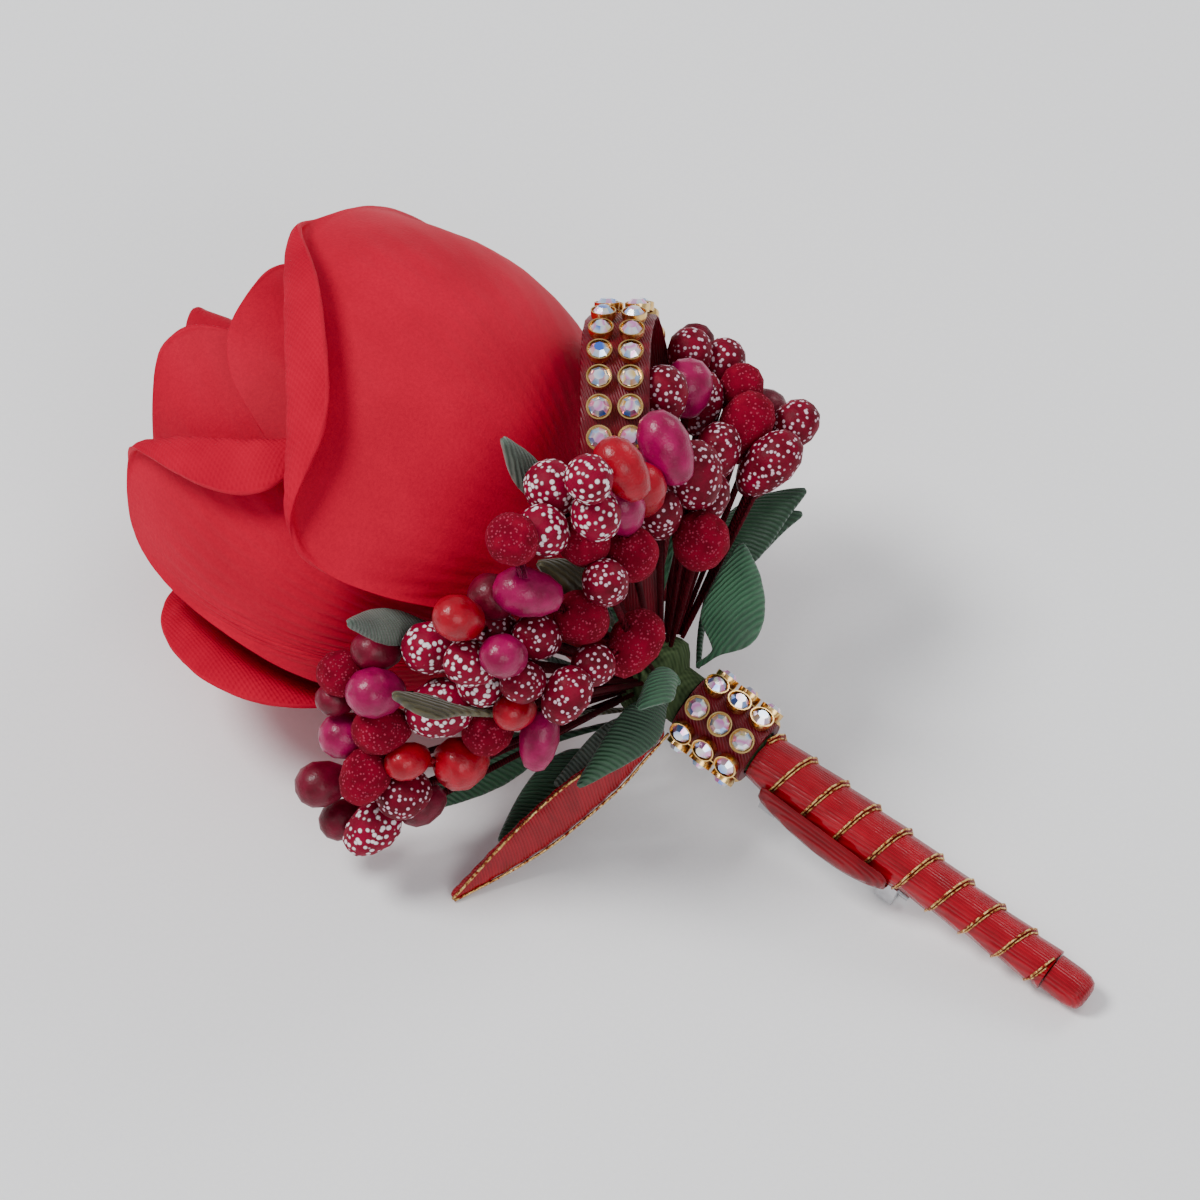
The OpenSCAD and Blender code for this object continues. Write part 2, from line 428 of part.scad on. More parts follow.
// stone loop
// the ribbon's middle line as the viewer sees it; columns: right, up, out, width
loop_rows = [[-8.6, 10, 1.6, 3], [-9.8, 15, 6.4, 5.2], [-11.8, 20.5, 11.5, 7.4], [-12.3, 26, 15, 8],
             [-12.3, 32, 16.2, 8], [-12.3, 38, 15, 8], [-12.1, 42.8, 11.4, 8],
             [-11.5, 45.3, 6.4, 8], [-10.6, 45, 1, 7.2], [-9.3, 41.5, -3.2, 6.4],
             [-8.2, 36, -5.7, 6.4], [-7.3, 29, -6.7, 6.2], [-6.4, 21, -6.2, 5.8], [-6, 14, -4.6, 4.6]];
loop_sub = 2;
function loop_mid(u) = by_rose([for (c = [0:2]) smooth_read(loop_rows, u, c)]);
function loop_way(u) = unit(loop_mid(min(u + 0.05, len(loop_rows) - 1)) - loop_mid(max(0, u - 0.05)));
function loop_across(u) = unit(seen_right - (seen_right * loop_way(u)) * loop_way(u));
function loop_face(u) = cross(loop_across(u), loop_way(u));
module loop_band() color("#7c0c18") {
    us = [for (i = [0:(len(loop_rows) - 1) * loop_sub]) i / loop_sub];
    rows = [for (u = us) let (m = loop_mid(u), w = smooth_read(loop_rows, u, 3) / 2)
            [m - loop_across(u) * w, m + loop_across(u) * w]];
    lift = [for (u = us) loop_face(u) * band_thickness / 2];
    sheet_solid([for (i = [0:len(us) - 1]) [for (p = rows[i]) p - lift[i]]],
                [for (i = [0:len(us) - 1]) [for (p = rows[i]) p + lift[i]]]);
}
// rows of stones at equal steps of the way along the ribbon
loop_first = 3.45;
loop_rows_of_stones = 14;
function walk(u, left) = left <= 0 ? u : let (s = norm(loop_mid(u + 0.02) - loop_mid(u)))
    s >= left ? u + 0.02 * left / s : walk(u + 0.02, left - s);
function loop_stops(u, k) = k == 0 ? [u] : concat([u], loop_stops(walk(u, stone_pitch), k - 1));
module loop_places() for (u = loop_stops(loop_first, loop_rows_of_stones - 1)) for (q = [-1, 1]) {
    across = loop_across(u);
    way = loop_way(u);
    face = cross(across, way);
    c = loop_mid(u) + across * q * 1.7 + face * (band_thickness / 2 + 0.12);
    multmatrix([[across[0], way[0], face[0], c[0]], [across[1], way[1], face[1], c[1]],
                [across[2], way[2], face[2], c[2]], [0, 0, 0, 1]]) children();
}
module loop_settings() color("#d8a032") loop_places() cup();
module loop_stones() color("#cfd8f0") loop_places() stone();

// stem
// columns: share of the stem's length, share of the way from top to end diameter
stem_rows = [[0.1, 0.02], [0.28, -0.08], [0.44, 0.0], [0.56, 0.3], [0.68, 0.65], [0.84, 0.85],
             [0.92, 1.0], [1, 1.05]];
function stem_radius(a) = (stem_top_diameter + (stem_end_diameter - stem_top_diameter)
                           * steady(stem_rows, a / stem_length)) / 2;
wrap_start = collar_half + 2 * gap;
wrap_steps = 12;
wrap_turns = floor((stem_length - 4 - wrap_start) / wrap_pitch) + 2;
wrap_end = wrap_start + 2 * gap + wrap_pitch * (wrap_turns - 2);
wrap_inner = wrap_thickness + 0.02;
// where the helix has come after i steps: the first and the last turn lie square to the stem
function wrap_at(i) = i < wrap_steps ? wrap_start : i > wrap_steps * (wrap_turns - 1) ? wrap_end
                      : wrap_start + gap + wrap_pitch * (i / wrap_steps - 1);
module stem_wrap() color("#c40a1c") {
    n = wrap_steps * wrap_turns;
    // for each step round the helix: raised edge of this turn, foot of the next, inner wall
    pts = [for (i = [0:n])
           let (a = wrap_at(i), d = [0, sin(30 * i), cos(30 * i)],
                r = stem_radius(a))
           each [[a, 0, 0] + d * (r + wrap_step / 2), [a, 0, 0] + d * (r - wrap_step / 2),
                 [a, 0, 0] + d * (r - wrap_inner)]];
    turn = wrap_steps;
    last = n - turn;
    band = [for (i = [0:last - 1])
            each [[3 * i + 1, 3 * (i + 1) + 1, 3 * (i + turn + 1)],
                  [3 * i + 1, 3 * (i + turn + 1), 3 * (i + turn)]]];
    riser = [for (i = [turn:last - 1]) each [[3 * i, 3 * (i + 1), 3 * (i + 1) + 1],
                                             [3 * i, 3 * (i + 1) + 1, 3 * i + 1]]];
    inner = [for (i = [0:last - 1])
             each [[3 * i + 2, 3 * (i + turn + 1) + 2, 3 * (i + 1) + 2],
                   [3 * i + 2, 3 * (i + turn) + 2, 3 * (i + turn + 1) + 2]]];
    start = [for (i = [0:turn - 1]) each [[3 * i + 1, 3 * i + 2, 3 * (i + 1) + 2],
                                          [3 * i + 1, 3 * (i + 1) + 2, 3 * (i + 1) + 1]]];
    stop = concat([for (i = [last:n - 1]) [3 * i, 3 * (i + 1), 3 * (i + 1) + 2]],
                  [for (i = [last + 1:n - 1]) [3 * i, 3 * (i + 1) + 2, 3 * i + 2]],
                  [[3 * last, 3 * last + 5, 3 * last + 1], [3 * last + 1, 3 * last + 5, 3 * last + 2]]);
    start_face = [[1, 3 * turn, 3 * turn + 1], [1, 3 * turn + 1, 3 * turn + 2], [1, 3 * turn + 2, 2]];
    stop_face = [[3 * last + 2, 3 * n + 2, 3 * n], [3 * last + 2, 3 * n, 3 * last + 1]];
    polyhedron(points = pts, convexity = 10,
               faces = concat(band, riser, inner, start, stop, start_face, stop_face));
}
core_end = stem_length - 2.4;
module stem_core() color("#3c5a34") rotate([0, 90, 0]) rotate_extrude($fn = 48) {
    inside = collar_radius - band_thickness - gap;
    polygon([[0, gap - neck_start], [inside, gap - neck_start], [inside, collar_half - gap * 2],
             for (f = [0.102, 0.28, 0.44, 0.56, 0.68, 0.84, 0.92])
                 [stem_radius(f * stem_length) - wrap_inner - gap, f * stem_length],
             [stem_radius(core_end) - wrap_inner - gap, core_end], [0, core_end]]);
}
// the folded end of the ribbon that closes the stem's end
module stem_tip() color("#c40a1c") rotate([0, 90, 0]) rotate_extrude($fn = 48) {
    r = stem_radius(wrap_end) - gap;
    hole = stem_radius(core_end) - wrap_inner;
    polygon([[hole, wrap_end + gap], [r, wrap_end + gap], [r * 1.02, stem_length - 2.2],
             [r * 0.96, stem_length - 1], [r * 0.8, stem_length - 0.3], [r * 0.5, stem_length],
             [0.5, stem_length], [0.4, stem_length - 0.4], [0, stem_length - 0.4],
             [0, core_end + gap], [hole, core_end + gap]]);
}
// the lengthwise fold of the ribbon on the lower left of the stem
// columns: share of the stem's length, height of the fold
fold_rows = [[0.15, 0.5], [0.21, 1.1], [0.28, 1.6], [0.36, 1.8], [0.43, 1.5], [0.5, 0.6]];
module stem_fold() color("#9c0a18") {
    lay = [for (f = fold_rows)
           let (r = stem_radius(f[0] * stem_length) + wrap_step / 2 + gap)
           [for (q = [-2:2])
            [f[0] * stem_length, 0, 0] + around(-84 + q * 19) * (r + f[1] * (1 - q * q / 4) * 0.9 + 0.35)]];
    under = [for (f = fold_rows)
             let (r = stem_radius(f[0] * stem_length) + wrap_step / 2 + gap)
             [for (q = [-2:2]) [f[0] * stem_length, 0, 0] + around(-84 + q * 19) * r]];
    sheet_solid(lay, under);
}

// ribbon tail
// as the viewer sees it; columns: right, up, out, width, turn about its length
tail_rows = [[-7.2, 0.6, 3.2, 3.4, 40], [-10, -2, 3.6, 4.8, 48], [-13, -4.8, 2.8, 5.6, 42],
             [-16.6, -7.8, 1.6, 5.8, 36], [-20.6, -11.2, 0.8, 5.6, 38], [-24.6, -14.4, 0.1, 4.6, 46],
             [-28, -17, -0.6, 2.6, 50], [-30.4, -18.8, -0.9, 0.9, 50]];
module ribbon_tail() color("#cc0a1e") {
    n = len(tail_rows) - 1;
    mids = [for (i = [0:2 * n]) seen([for (c = [0:2]) smooth_read(tail_rows, i / 2, c)])];
    face = [for (i = [0:2 * n])
            let (t = unit(mids[min(2 * n, i + 1)] - mids[max(0, i - 1)]), s0 = unit(cross(t, seen_out)),
                 n0 = cross(s0, t), g = smooth_read(tail_rows, i / 2, 4))
            [cos(g) * s0 + sin(g) * n0, cos(g) * n0 - sin(g) * s0]];
    rows = [for (i = [0:2 * n]) let (w = smooth_read(tail_rows, i / 2, 3) / 2)
            [mids[i] - face[i][0] * w, mids[i] + face[i][0] * w]];
    sheet_solid([for (i = [0:2 * n]) [for (p = rows[i]) p - face[i][1] * tail_thickness / 2]],
                [for (i = [0:2 * n]) [for (p = rows[i]) p + face[i][1] * tail_thickness / 2]]);
}

// bar pin on the stem's back
module lapel_pin() color("#b9bcc2") {
    top = -3.55;
    translate([7.5, -1.6, top - 0.8]) cube([18.5, 3.2, 0.8]);
    translate([7.5, -1.6, top - 3.4]) cube([2.2, 3.2, 2.7]);
    translate([23.8, -1.6, top - 3.4]) difference() {
        cube([2.2, 3.2, 2.7]);
        translate([-1, 0.9, 0.5]) cube([4, 1.4, 0.95]);
    }
    translate([8.6, 0, top - 2.43]) rotate([0, 90, 0]) cylinder(d = 0.8, h = 18.6, $fn = 24);
}

// lying on the floor, the middle of the whole over the origin
shift_x = 13.31;
shift_y = 2.25;
shift_z = -0.26;
module lie() translate([shift_x, shift_y, rest_height + shift_z]) rotate([0, rest_tilt, 0]) children();

lie() rose_core();
lie() petal_front();
lie() petal_left();
lie() petal_far_left();
lie() petal_back_right();
lie() petal_back();
lie() petal_inner_right();
lie() petal_inner_left();
lie() petal_inner_back();
lie() petal_inner_low();
lie() bud_petal_outer();
lie() bud_petal_middle();
lie() bud_petal_centre();
lie() stamens_upper();
lie() stamens_right();
lie() stamens_middle();
lie() stamens_front();
lie() stamens_left();
lie() stamens_far_left();
lie() leaf_rose_tip();
lie() leaf_left_tip();
lie() leaf_left_curl();
lie() leaf_dark_small();
lie() leaf_upper_small();
lie() leaf_right_long();
lie() leaf_right_low();
lie() leaf_right_large();
lie() leaf_middle_dark();
lie() leaf_lower_long();
lie() leaf_lower_short();
lie() leaf_lower_pale();
lie() leaf_bottom();
lie() leaf_bottom_left();
lie() neck_wrap();
lie() collar_band();
lie() collar_settings();
lie() collar_stones();
lie() loop_band();
lie() loop_settings();
lie() loop_stones();
lie() stem_core();
lie() stem_wrap();
lie() stem_fold();
lie() stem_tip();
lie() ribbon_tail();
lie() lapel_pin();
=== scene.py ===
"""Looks of the flower lapel pin: materials, softened cloth, gold ribbon edges, light and camera."""
import bpy
import bmesh
import math
from mathutils import Vector, Matrix


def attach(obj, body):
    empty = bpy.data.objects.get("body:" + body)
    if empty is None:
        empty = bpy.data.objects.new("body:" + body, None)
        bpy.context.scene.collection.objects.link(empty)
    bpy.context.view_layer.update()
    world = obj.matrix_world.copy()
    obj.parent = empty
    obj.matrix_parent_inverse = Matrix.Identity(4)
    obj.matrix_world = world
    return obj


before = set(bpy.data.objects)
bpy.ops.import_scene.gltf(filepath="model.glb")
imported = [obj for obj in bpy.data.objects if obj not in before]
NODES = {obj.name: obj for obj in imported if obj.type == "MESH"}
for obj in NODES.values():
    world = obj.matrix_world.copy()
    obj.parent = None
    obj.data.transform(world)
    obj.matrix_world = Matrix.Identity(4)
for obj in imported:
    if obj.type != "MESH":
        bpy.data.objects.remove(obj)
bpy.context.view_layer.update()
MM = 0.001

# sizes of the solids that the looks follow, in mm and degrees
REST_TILT = 12.55
VIEW_ROUND = 36.0
VIEW_LIFT = 52.0
COLLAR = Vector((13.31, 2.25, 12.74))
STONE_PITCH = 3.1
COLLAR_HALF = 1.5 * STONE_PITCH + 0.1
STEM_LENGTH = 50.0
STEM_TOP = 6.2
STEM_END = 4.6


def rad(a):
    return a * math.pi / 180


def laid_back(v):
    """A direction of the row frame in the design frame, where the stem runs along X."""
    c, s = math.cos(rad(REST_TILT)), math.sin(rad(REST_TILT))
    return Vector((v[0] * c - v[2] * s, v[1], v[0] * s + v[2] * c))


def to_row(p):
    """A point of the design frame (mm) in the row frame (metres)."""
    c, s = math.cos(rad(REST_TILT)), math.sin(rad(REST_TILT))
    return (Vector((p[0] * c + p[2] * s, p[1], -p[0] * s + p[2] * c)) + COLLAR) * MM


# right, up and towards the camera, in the row frame and in the design frame
ROW_RIGHT = Vector((math.cos(rad(VIEW_ROUND)), math.sin(rad(VIEW_ROUND)), 0))
ROW_OUT = Vector((math.sin(rad(VIEW_ROUND)) * math.cos(rad(VIEW_LIFT)),
                  -math.cos(rad(VIEW_ROUND)) * math.cos(rad(VIEW_LIFT)), math.sin(rad(VIEW_LIFT))))
ROW_UP = ROW_OUT.cross(ROW_RIGHT)
S_RIGHT, S_UP, S_OUT = laid_back(ROW_RIGHT), laid_back(ROW_UP), laid_back(ROW_OUT)


def seen(p):
    """A point given as right, up and out in the photograph, in the design frame."""
    return S_RIGHT * p[0] + S_UP * p[1] + S_OUT * p[2]


def read(table, u, c):
    """Smooth reading of a table at row u, column c, as the solids read theirs."""
    def pick(i):
        return table[max(0, min(len(table) - 1, i))][c]
    i = min(int(math.floor(u)), len(table) - 2)
    f = u - i
    a, b, d, g = pick(i - 1), pick(i), pick(i + 1), pick(i + 2)
    return 0.5 * (2 * b + (d - a) * f + (2 * a - 5 * b + 4 * d - g) * f * f
                  + (3 * b - a - 3 * d + g) * f ** 3)


# material helpers: t is a material's node tree, b its surface shader, v a texture place
WAVE_TURN = 20


def new_material(name):
    m = bpy.data.materials.new(name)
    m.use_nodes = True
    t = m.node_tree
    t.nodes.clear()
    out = t.nodes.new("ShaderNodeOutputMaterial")
    b = t.nodes.new("ShaderNodeBsdfPrincipled")
    t.links.new(b.outputs[0], out.inputs[0])
    return m, t, b


def coords(t, scale=(1, 1, 1), turn=(0, 0, 0)):
    c = t.nodes.new("ShaderNodeTexCoord")
    m = t.nodes.new("ShaderNodeMapping")
    m.inputs["Scale"].default_value = scale
    m.inputs["Rotation"].default_value = [rad(a) for a in turn]
    t.links.new(c.outputs["Object"], m.inputs["Vector"])
    return m.outputs["Vector"]


def noise(t, v, scale, detail=3, rough=0.5):
    n = t.nodes.new("ShaderNodeTexNoise")
    n.inputs["Scale"].default_value = scale
    n.inputs["Detail"].default_value = detail
    n.inputs["Roughness"].default_value = rough
    t.links.new(v, n.inputs["Vector"])
    return n.outputs["Fac"]


def ribs_along(t, v, axis, pitch, distortion):
    """Bands across an axis, one every pitch mm, where the wave texture turns by WAVE_TURN a unit."""
    n = t.nodes.new("ShaderNodeTexWave")
    n.bands_direction = axis
    n.inputs["Scale"].default_value = 2 * math.pi / (pitch * MM) / WAVE_TURN
    n.inputs["Distortion"].default_value = distortion
    n.inputs["Detail"].default_value = 1.0
    t.links.new(v, n.inputs["Vector"])
    return n.outputs["Fac"]


def ramp(t, fac, stops):
    r = t.nodes.new("ShaderNodeValToRGB")
    el = r.color_ramp.elements
    while len(el) < len(stops):
        el.new(0.5)
    for e, (place, colour) in zip(el, stops):
        e.position = place
        e.color = (*colour, 1)
    t.links.new(fac, r.inputs["Fac"])
    return r.outputs["Color"]


def maths(t, op, *values):
    n = t.nodes.new("ShaderNodeMath")
    n.operation = op
    for i, v in enumerate(values):
        if isinstance(v, (int, float)):
            n.inputs[i].default_value = v
        else:
            t.links.new(v, n.inputs[i])
    return n.outputs[0]


def times(t, v, share):
    return maths(t, "MULTIPLY", v, share)


def mixed(t, fac, a, b, mode="MIX"):
    n = t.nodes.new("ShaderNodeMix")
    n.data_type = "RGBA"
    n.blend_type = mode
    for i, v in ((0, fac), (6, a), (7, b)):
        if isinstance(v, (int, float)):
            n.inputs[i].default_value = v
        elif isinstance(v, tuple):
            n.inputs[i].default_value = (*v, 1)
        else:
            t.links.new(v, n.inputs[i])
    return n.outputs[2]


def bump(t, b, height, distance, strength):
    n = t.nodes.new("ShaderNodeBump")
    n.inputs["Distance"].default_value = distance
    n.inputs["Strength"].default_value = strength
    t.links.new(height, n.inputs["Height"])
    t.links.new(n.outputs[0], b.inputs["Normal"])


def velvet(name, dark, mid, light):
    """Smooth pile: slow colour drift, fine nap, soft sheen."""
    m, t, b = new_material(name)
    v = coords(t)
    drift = noise(t, v, 90)
    nap = noise(t, v, 2600, 2, 0.7)
    col = ramp(t, drift, [(0.2, dark), (0.5, mid), (0.8, light)])
    grain = ramp(t, nap, [(0.3, (0.86, 0.86, 0.86)), (0.7, (1.0, 1.0, 1.0))])
    t.links.new(mixed(t, 1.0, col, grain, "MULTIPLY"), b.inputs["Base Color"])
    b.inputs["Roughness"].default_value = 0.62
    b.inputs["Sheen Weight"].default_value = 0.12
    b.inputs["Sheen Roughness"].default_value = 0.4
    b.inputs["Sheen Tint"].default_value = (1.0, 0.05, 0.06, 1)
    b.inputs["Specular IOR Level"].default_value = 0.12
    height = maths(t, "ADD", times(t, drift, 1.2), times(t, nap, 0.2))
    bump(t, b, height, distance=0.0005, strength=0.45)
    return m


def woven(name, dark, light, pitch, rough=0.85, contrast=0.3):
    """Plain cloth: two crossing sets of threads, with slubs."""
    m, t, b = new_material(name)
    v = coords(t, turn=(20, 35, 25))
    warp = ribs_along(t, v, "X", pitch, 0.6)
    weft = ribs_along(t, v, "Y", pitch, 0.6)
    threads = times(t, maths(t, "ADD", warp, weft), 0.5)
    slub = noise(t, v, 160)
    fac = maths(t, "ADD", times(t, threads, contrast), times(t, slub, 1 - contrast))
    t.links.new(ramp(t, fac, [(0.28, dark), (0.72, light)]), b.inputs["Base Color"])
    b.inputs["Roughness"].default_value = rough
    b.inputs["Specular IOR Level"].default_value = 0.08
    bump(t, b, maths(t, "ADD", threads, times(t, slub, 0.8)), distance=0.00012, strength=0.7)
    return m


def ribbed(name, dark, light, slant):
    """Leaf cloth: fine raised ribs that run slantwise, with a satin gloss."""
    m, t, b = new_material(name)
    v = coords(t, turn=(0, 0, slant))
    ribs = ribs_along(t, v, "X", 0.4, 1.2)
    drift = noise(t, v, 150, 4)
    fac = maths(t, "ADD", times(t, ribs, 0.22), times(t, drift, 0.78))
    t.links.new(ramp(t, fac, [(0.28, dark), (0.72, light)]), b.inputs["Base Color"])
    b.inputs["Roughness"].default_value = 0.5
    b.inputs["Sheen Weight"].default_value = 0.2
    b.inputs["Specular IOR Level"].default_value = 0.4
    bump(t, b, maths(t, "ADD", ribs, times(t, drift, 0.7)), distance=0.0002, strength=0.8)
    return m


def satin(name, dark, light, turn, rough):
    """Satin ribbon: fine cross ribs, soft creases with painted shade and light in the colour, a broad gloss.
    """
    m, t, b = new_material(name)
    ribs = ribs_along(t, coords(t, turn=turn), "Y", 0.3, 0.4)
    crease_relief_and_shade = noise(t, coords(t, scale=(1, 2.5, 1), turn=turn), 260)
    # the creases give relief, and painted shade and light in the colour
    fac = maths(t, "ADD", times(t, ribs, 0.2), times(t, crease_relief_and_shade, 0.8))
    t.links.new(ramp(t, fac, [(0.3, dark), (0.7, light)]), b.inputs["Base Color"])
    b.inputs["Roughness"].default_value = rough
    b.inputs["Anisotropic"].default_value = 0.4
    b.inputs["Specular IOR Level"].default_value = 0.3
    bump(t, b, maths(t, "ADD", times(t, ribs, 0.25), crease_relief_and_shade), distance=0.00035, strength=0.6)
    return m


def pip(name, dark, light, rough, coat=0.0, dots=None, density=0.5, cell=0.8):
    """A stamen head: mottled colour, with raised pale sugar dots, one a cell of so many mm, where given."""
    m, t, b = new_material(name)
    v = coords(t)
    col = ramp(t, noise(t, v, 500), [(0.35, dark), (0.68, light)])
    height = times(t, noise(t, v, 3800, 2), 0.3)
    if dots:
        cells = t.nodes.new("ShaderNodeTexVoronoi")
        cells.inputs["Scale"].default_value = 1 / (cell * MM)
        t.links.new(v, cells.inputs["Vector"])
        spot = ramp(t, cells.outputs["Distance"], [(density * 0.72, (1, 1, 1)), (density, (0, 0, 0))])
        col = mixed(t, spot, col, dots)
        height = maths(t, "ADD", height, times(t, spot, 0.8))
    t.links.new(col, b.inputs["Base Color"])
    b.inputs["Roughness"].default_value = rough
    b.inputs["Coat Weight"].default_value = coat
    b.inputs["Specular IOR Level"].default_value = 0.12 if rough > 0.4 else 0.25
    bump(t, b, height, distance=0.00022, strength=0.9)
    return m


def metal(name, dark, light, rough):
    """Metal whose colour and gloss drift a little."""
    m, t, b = new_material(name)
    drift = noise(t, coords(t), 900)
    t.links.new(ramp(t, drift, [(0.3, dark), (0.7, light)]), b.inputs["Base Color"])
    t.links.new(maths(t, "MULTIPLY_ADD", drift, 0.2, rough - 0.1), b.inputs["Roughness"])
    b.inputs["Metallic"].default_value = 1.0
    bump(t, b, drift, distance=0.00004, strength=0.4)
    return m


def lurex(name):
    """Gold thread sewn along the ribbon's edge: bright flecks with red showing between."""
    m, t, b = new_material(name)
    fleck = noise(t, coords(t), 2300, 2, 0.7)
    col = ramp(t, fleck, [(0.42, (0.22, 0.01, 0.006)), (0.5, (0.62, 0.36, 0.10)), (0.7, (0.95, 0.74, 0.36))])
    t.links.new(col, b.inputs["Base Color"])
    t.links.new(maths(t, "MULTIPLY_ADD", fleck, -0.3, 0.55), b.inputs["Roughness"])
    b.inputs["Metallic"].default_value = 0.85
    bump(t, b, fleck, distance=0.0002, strength=0.8)
    return m


def crystal(name):
    """Iridescent stone: each facet leans to its own blue, pink, gold or green, part the coating's tint and
    part painted reflection.
    """
    m, t, b = new_material(name)
    facet = t.nodes.new("ShaderNodeNewGeometry")
    place = t.nodes.new("ShaderNodeVectorMath")
    place.operation = "MULTIPLY_ADD"
    place.inputs[1].default_value = (1.3, 1.3, 1.3)
    t.links.new(facet.outputs["True Normal"], place.inputs[0])
    t.links.new(coords(t, scale=(260, 260, 260)), place.inputs[2])
    # painted reflection: the colour follows each facet's normal, with the coating's own tints; the
    # near-white stops are painted glints
    tint_and_reflection = noise(t, place.outputs[0], 1.0, 1)
    col = ramp(t, tint_and_reflection, [(0.30, (0.05, 0.16, 0.75)), (0.40, (0.55, 0.75, 1.0)), (0.48, (0.95, 0.97, 1.0)),
                        (0.56, (0.85, 0.25, 0.65)), (0.63, (0.9, 0.95, 0.95)), (0.72, (0.95, 0.65, 0.2))])
    t.links.new(col, b.inputs["Base Color"])
    b.inputs["Metallic"].default_value = 0.6
    b.inputs["Roughness"].default_value = 0.08
    b.inputs["Coat Weight"].default_value = 1.0
    b.inputs["Coat Roughness"].default_value = 0.03
    b.inputs["Specular IOR Level"].default_value = 0.9
    return m


# materials: dark and light colour, then turns of the weave in degrees, pitches in mm and roughness
ALONG_STEM = (0, 12.5, 0)
ALONG_LOOP = (0, 0, 36)
RED = velvet("petal_velvet", (0.42, 0.0, 0.020), (0.49, 0.0, 0.024), (0.56, 0.0, 0.029))
# painted shade: the petal velvet made darker for the back, inner and bud petals
RED_PAINTED_SHADE = velvet("petal_velvet_painted_shade", (0.34, 0.0, 0.016), (0.41, 0.0, 0.019), (0.48, 0.0, 0.023))
LINING = woven("petal_lining", (0.40, 0.0, 0.020), (0.52, 0.002, 0.028), 0.42, contrast=0.2)
# painted shade: the petal velvet made much darker for the core, deep in the rose
HEART_PAINTED_SHADE = velvet("heart_velvet_painted_shade", (0.15, 0.0, 0.005), (0.22, 0.0, 0.007), (0.30, 0.0, 0.009))
TAPE = woven("floral_tape", (0.03, 0.05, 0.02), (0.09, 0.13, 0.055), 0.5, 0.8)
TRIM = satin("trim_ribbon", (0.09, 0.0, 0.005), (0.17, 0.0, 0.010), ALONG_LOOP, 0.42)
SATIN = satin("satin_ribbon", (0.20, 0.0, 0.005), (0.36, 0.0, 0.011), ALONG_STEM, 0.22)
# painted shade: the stem satin made darker for the ribbon's fold on the stem
SATIN_PAINTED_SHADE = satin("satin_fold_painted_shade", (0.12, 0.0, 0.003), (0.22, 0.0, 0.006), ALONG_STEM, 0.26)
GOLD = metal("gilt", (0.72, 0.42, 0.12), (0.95, 0.68, 0.30), 0.24)
LUREX = lurex("lurex_edge")
STEEL = metal("pin_steel", (0.50, 0.51, 0.53), (0.68, 0.69, 0.71), 0.3)
STONE = crystal("iridescent_stone")
THREAD = woven("stamen_thread", (0.04, 0.0, 0.003), (0.10, 0.001, 0.008), 0.3, 0.7)

PIPS = {
    "s": pip("pip_dotted", (0.10, 0.0, 0.008), (0.20, 0.0, 0.018), 0.5,
             dots=(0.74, 0.50, 0.58), density=0.38, cell=0.66),
    "w": pip("pip_white", (0.16, 0.0, 0.014), (0.26, 0.0, 0.026), 0.55,
             dots=(0.84, 0.72, 0.75), density=0.44, cell=0.74),
    "f": pip("pip_fuzzy", (0.14, 0.0, 0.009), (0.25, 0.001, 0.018), 0.9,
             dots=(0.40, 0.03, 0.07), density=0.36, cell=0.42),
    "m": pip("pip_magenta", (0.20, 0.0, 0.040), (0.34, 0.0, 0.080), 0.3, coat=0.12),
    "r": pip("pip_red", (0.26, 0.0, 0.009), (0.40, 0.0, 0.015), 0.3, coat=0.12),
    "c": pip("pip_crimson", (0.09, 0.0, 0.008), (0.17, 0.0, 0.020), 0.4, coat=0.08),
    "p": pip("pip_dark", (0.07, 0.0, 0.006), (0.14, 0.0, 0.014), 0.5),
}
KINDS = list(PIPS)

LEAF_DARK = ribbed("leaf_dark", (0.006, 0.028, 0.012), (0.022, 0.085, 0.035), 60)
LEAF_MID = ribbed("leaf_mid", (0.012, 0.055, 0.026), (0.045, 0.17, 0.075), 20)
LEAF_GREY = ribbed("leaf_grey", (0.035, 0.055, 0.042), (0.13, 0.17, 0.13), 100)
LEAF_OLIVE = ribbed("leaf_olive", (0.022, 0.018, 0.006), (0.10, 0.085, 0.03), 45)

# which node has which cloth
OUTER_PETALS = ("petal_front", "petal_left", "petal_far_left", "petal_inner_right", "petal_inner_left")
# petals deep in the rose, dressed in the velvet with painted shade
PETALS_IN_SHADE = ("petal_back_right", "petal_back", "petal_inner_back", "petal_inner_low",
               "bud_petal_outer", "bud_petal_middle", "bud_petal_centre")
SOFT_CLOTH = {
    "leaf_rose_tip": LEAF_GREY,
    "leaf_left_tip": LEAF_GREY,
    "leaf_left_curl": LEAF_OLIVE,
    "leaf_dark_small": LEAF_OLIVE,
    "leaf_upper_small": LEAF_MID,
    "leaf_right_long": LEAF_DARK,
    "leaf_right_low": LEAF_DARK,
    "leaf_right_large": LEAF_MID,
    "leaf_middle_dark": LEAF_DARK,
    "leaf_lower_long": LEAF_DARK,
    "leaf_lower_short": LEAF_MID,
    "leaf_lower_pale": LEAF_GREY,
    "leaf_bottom": LEAF_DARK,
    "leaf_bottom_left": LEAF_DARK,
    "loop_band": TRIM,
    "ribbon_tail": SATIN,
    "stem_fold": SATIN_PAINTED_SHADE,
}
# solids with true edges: material and the angle, in degrees, from which an edge stays sharp
EXACT_SOLIDS = {
    "rose_core": (HEART_PAINTED_SHADE, 60),
    "neck_wrap": (TAPE, 50),
    "stem_core": (TAPE, 40),
    "collar_band": (TRIM, 40),
    "stem_wrap": (SATIN, 50),
    "stem_tip": (SATIN, 50),
    "collar_settings": (GOLD, 40),
    "loop_settings": (GOLD, 40),
    "lapel_pin": (STEEL, 30),
}

